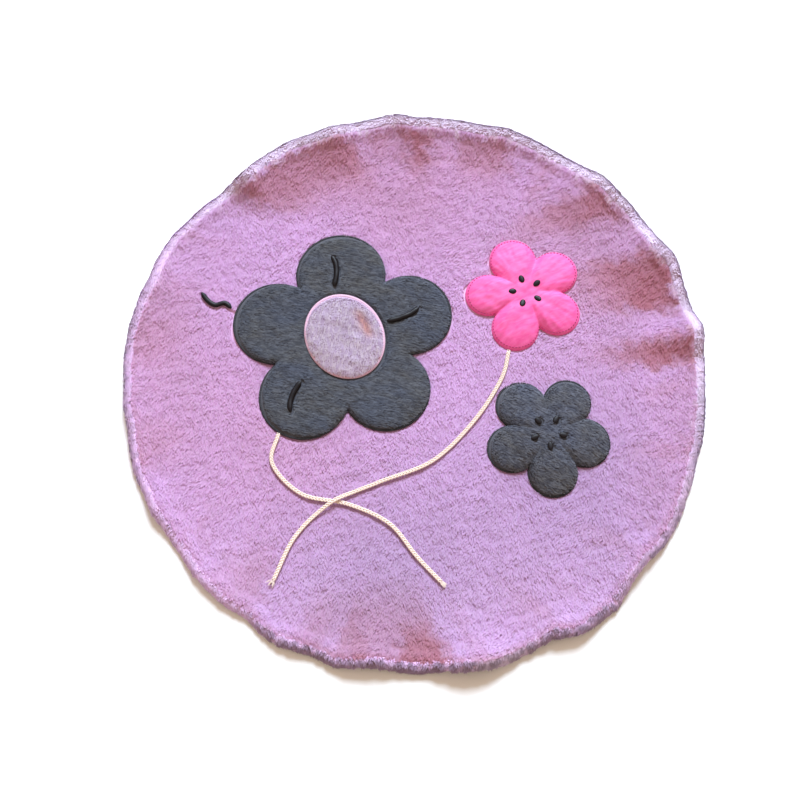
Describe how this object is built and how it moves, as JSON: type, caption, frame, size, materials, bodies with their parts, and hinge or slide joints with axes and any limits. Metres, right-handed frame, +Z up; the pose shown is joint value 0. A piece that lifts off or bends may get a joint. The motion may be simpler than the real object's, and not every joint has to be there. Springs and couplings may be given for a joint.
{
  "type": "round plush rug with sewn-on padded flowers",
  "caption": "Round plush floor rug with a rolled, puckered hem, padded flower patches and thin cord stems sewn on its pile.",
  "frame": {"origin": "on the floor under the middle of the rug, on its flat underside", "axes": "+Z up from the floor through the pile, +Y towards the rug's far side, +X to the right as it is seen in use"},
  "size_m": [0.7972, 0.7971, 0.0378],
  "materials": {
    "pink_plush": "short plush pile, matt",
    "grey_plush": "short plush pile, matt",
    "pale_plush": "short plush pile, matt",
    "pink_fleece": "smooth knit, soft sheen",
    "cream_cord": "flat braid, matt"
  },
  "bodies": {
    "root": {"plush_ground": "pink_plush", "grey_flower_large": "grey_plush", "grey_flower_small": "grey_plush", "pink_flower": "pink_fleece", "pale_centre": "pale_plush", "cord_long": "cream_cord", "cord_short": "cream_cord"}
  },
  "joints": []
}
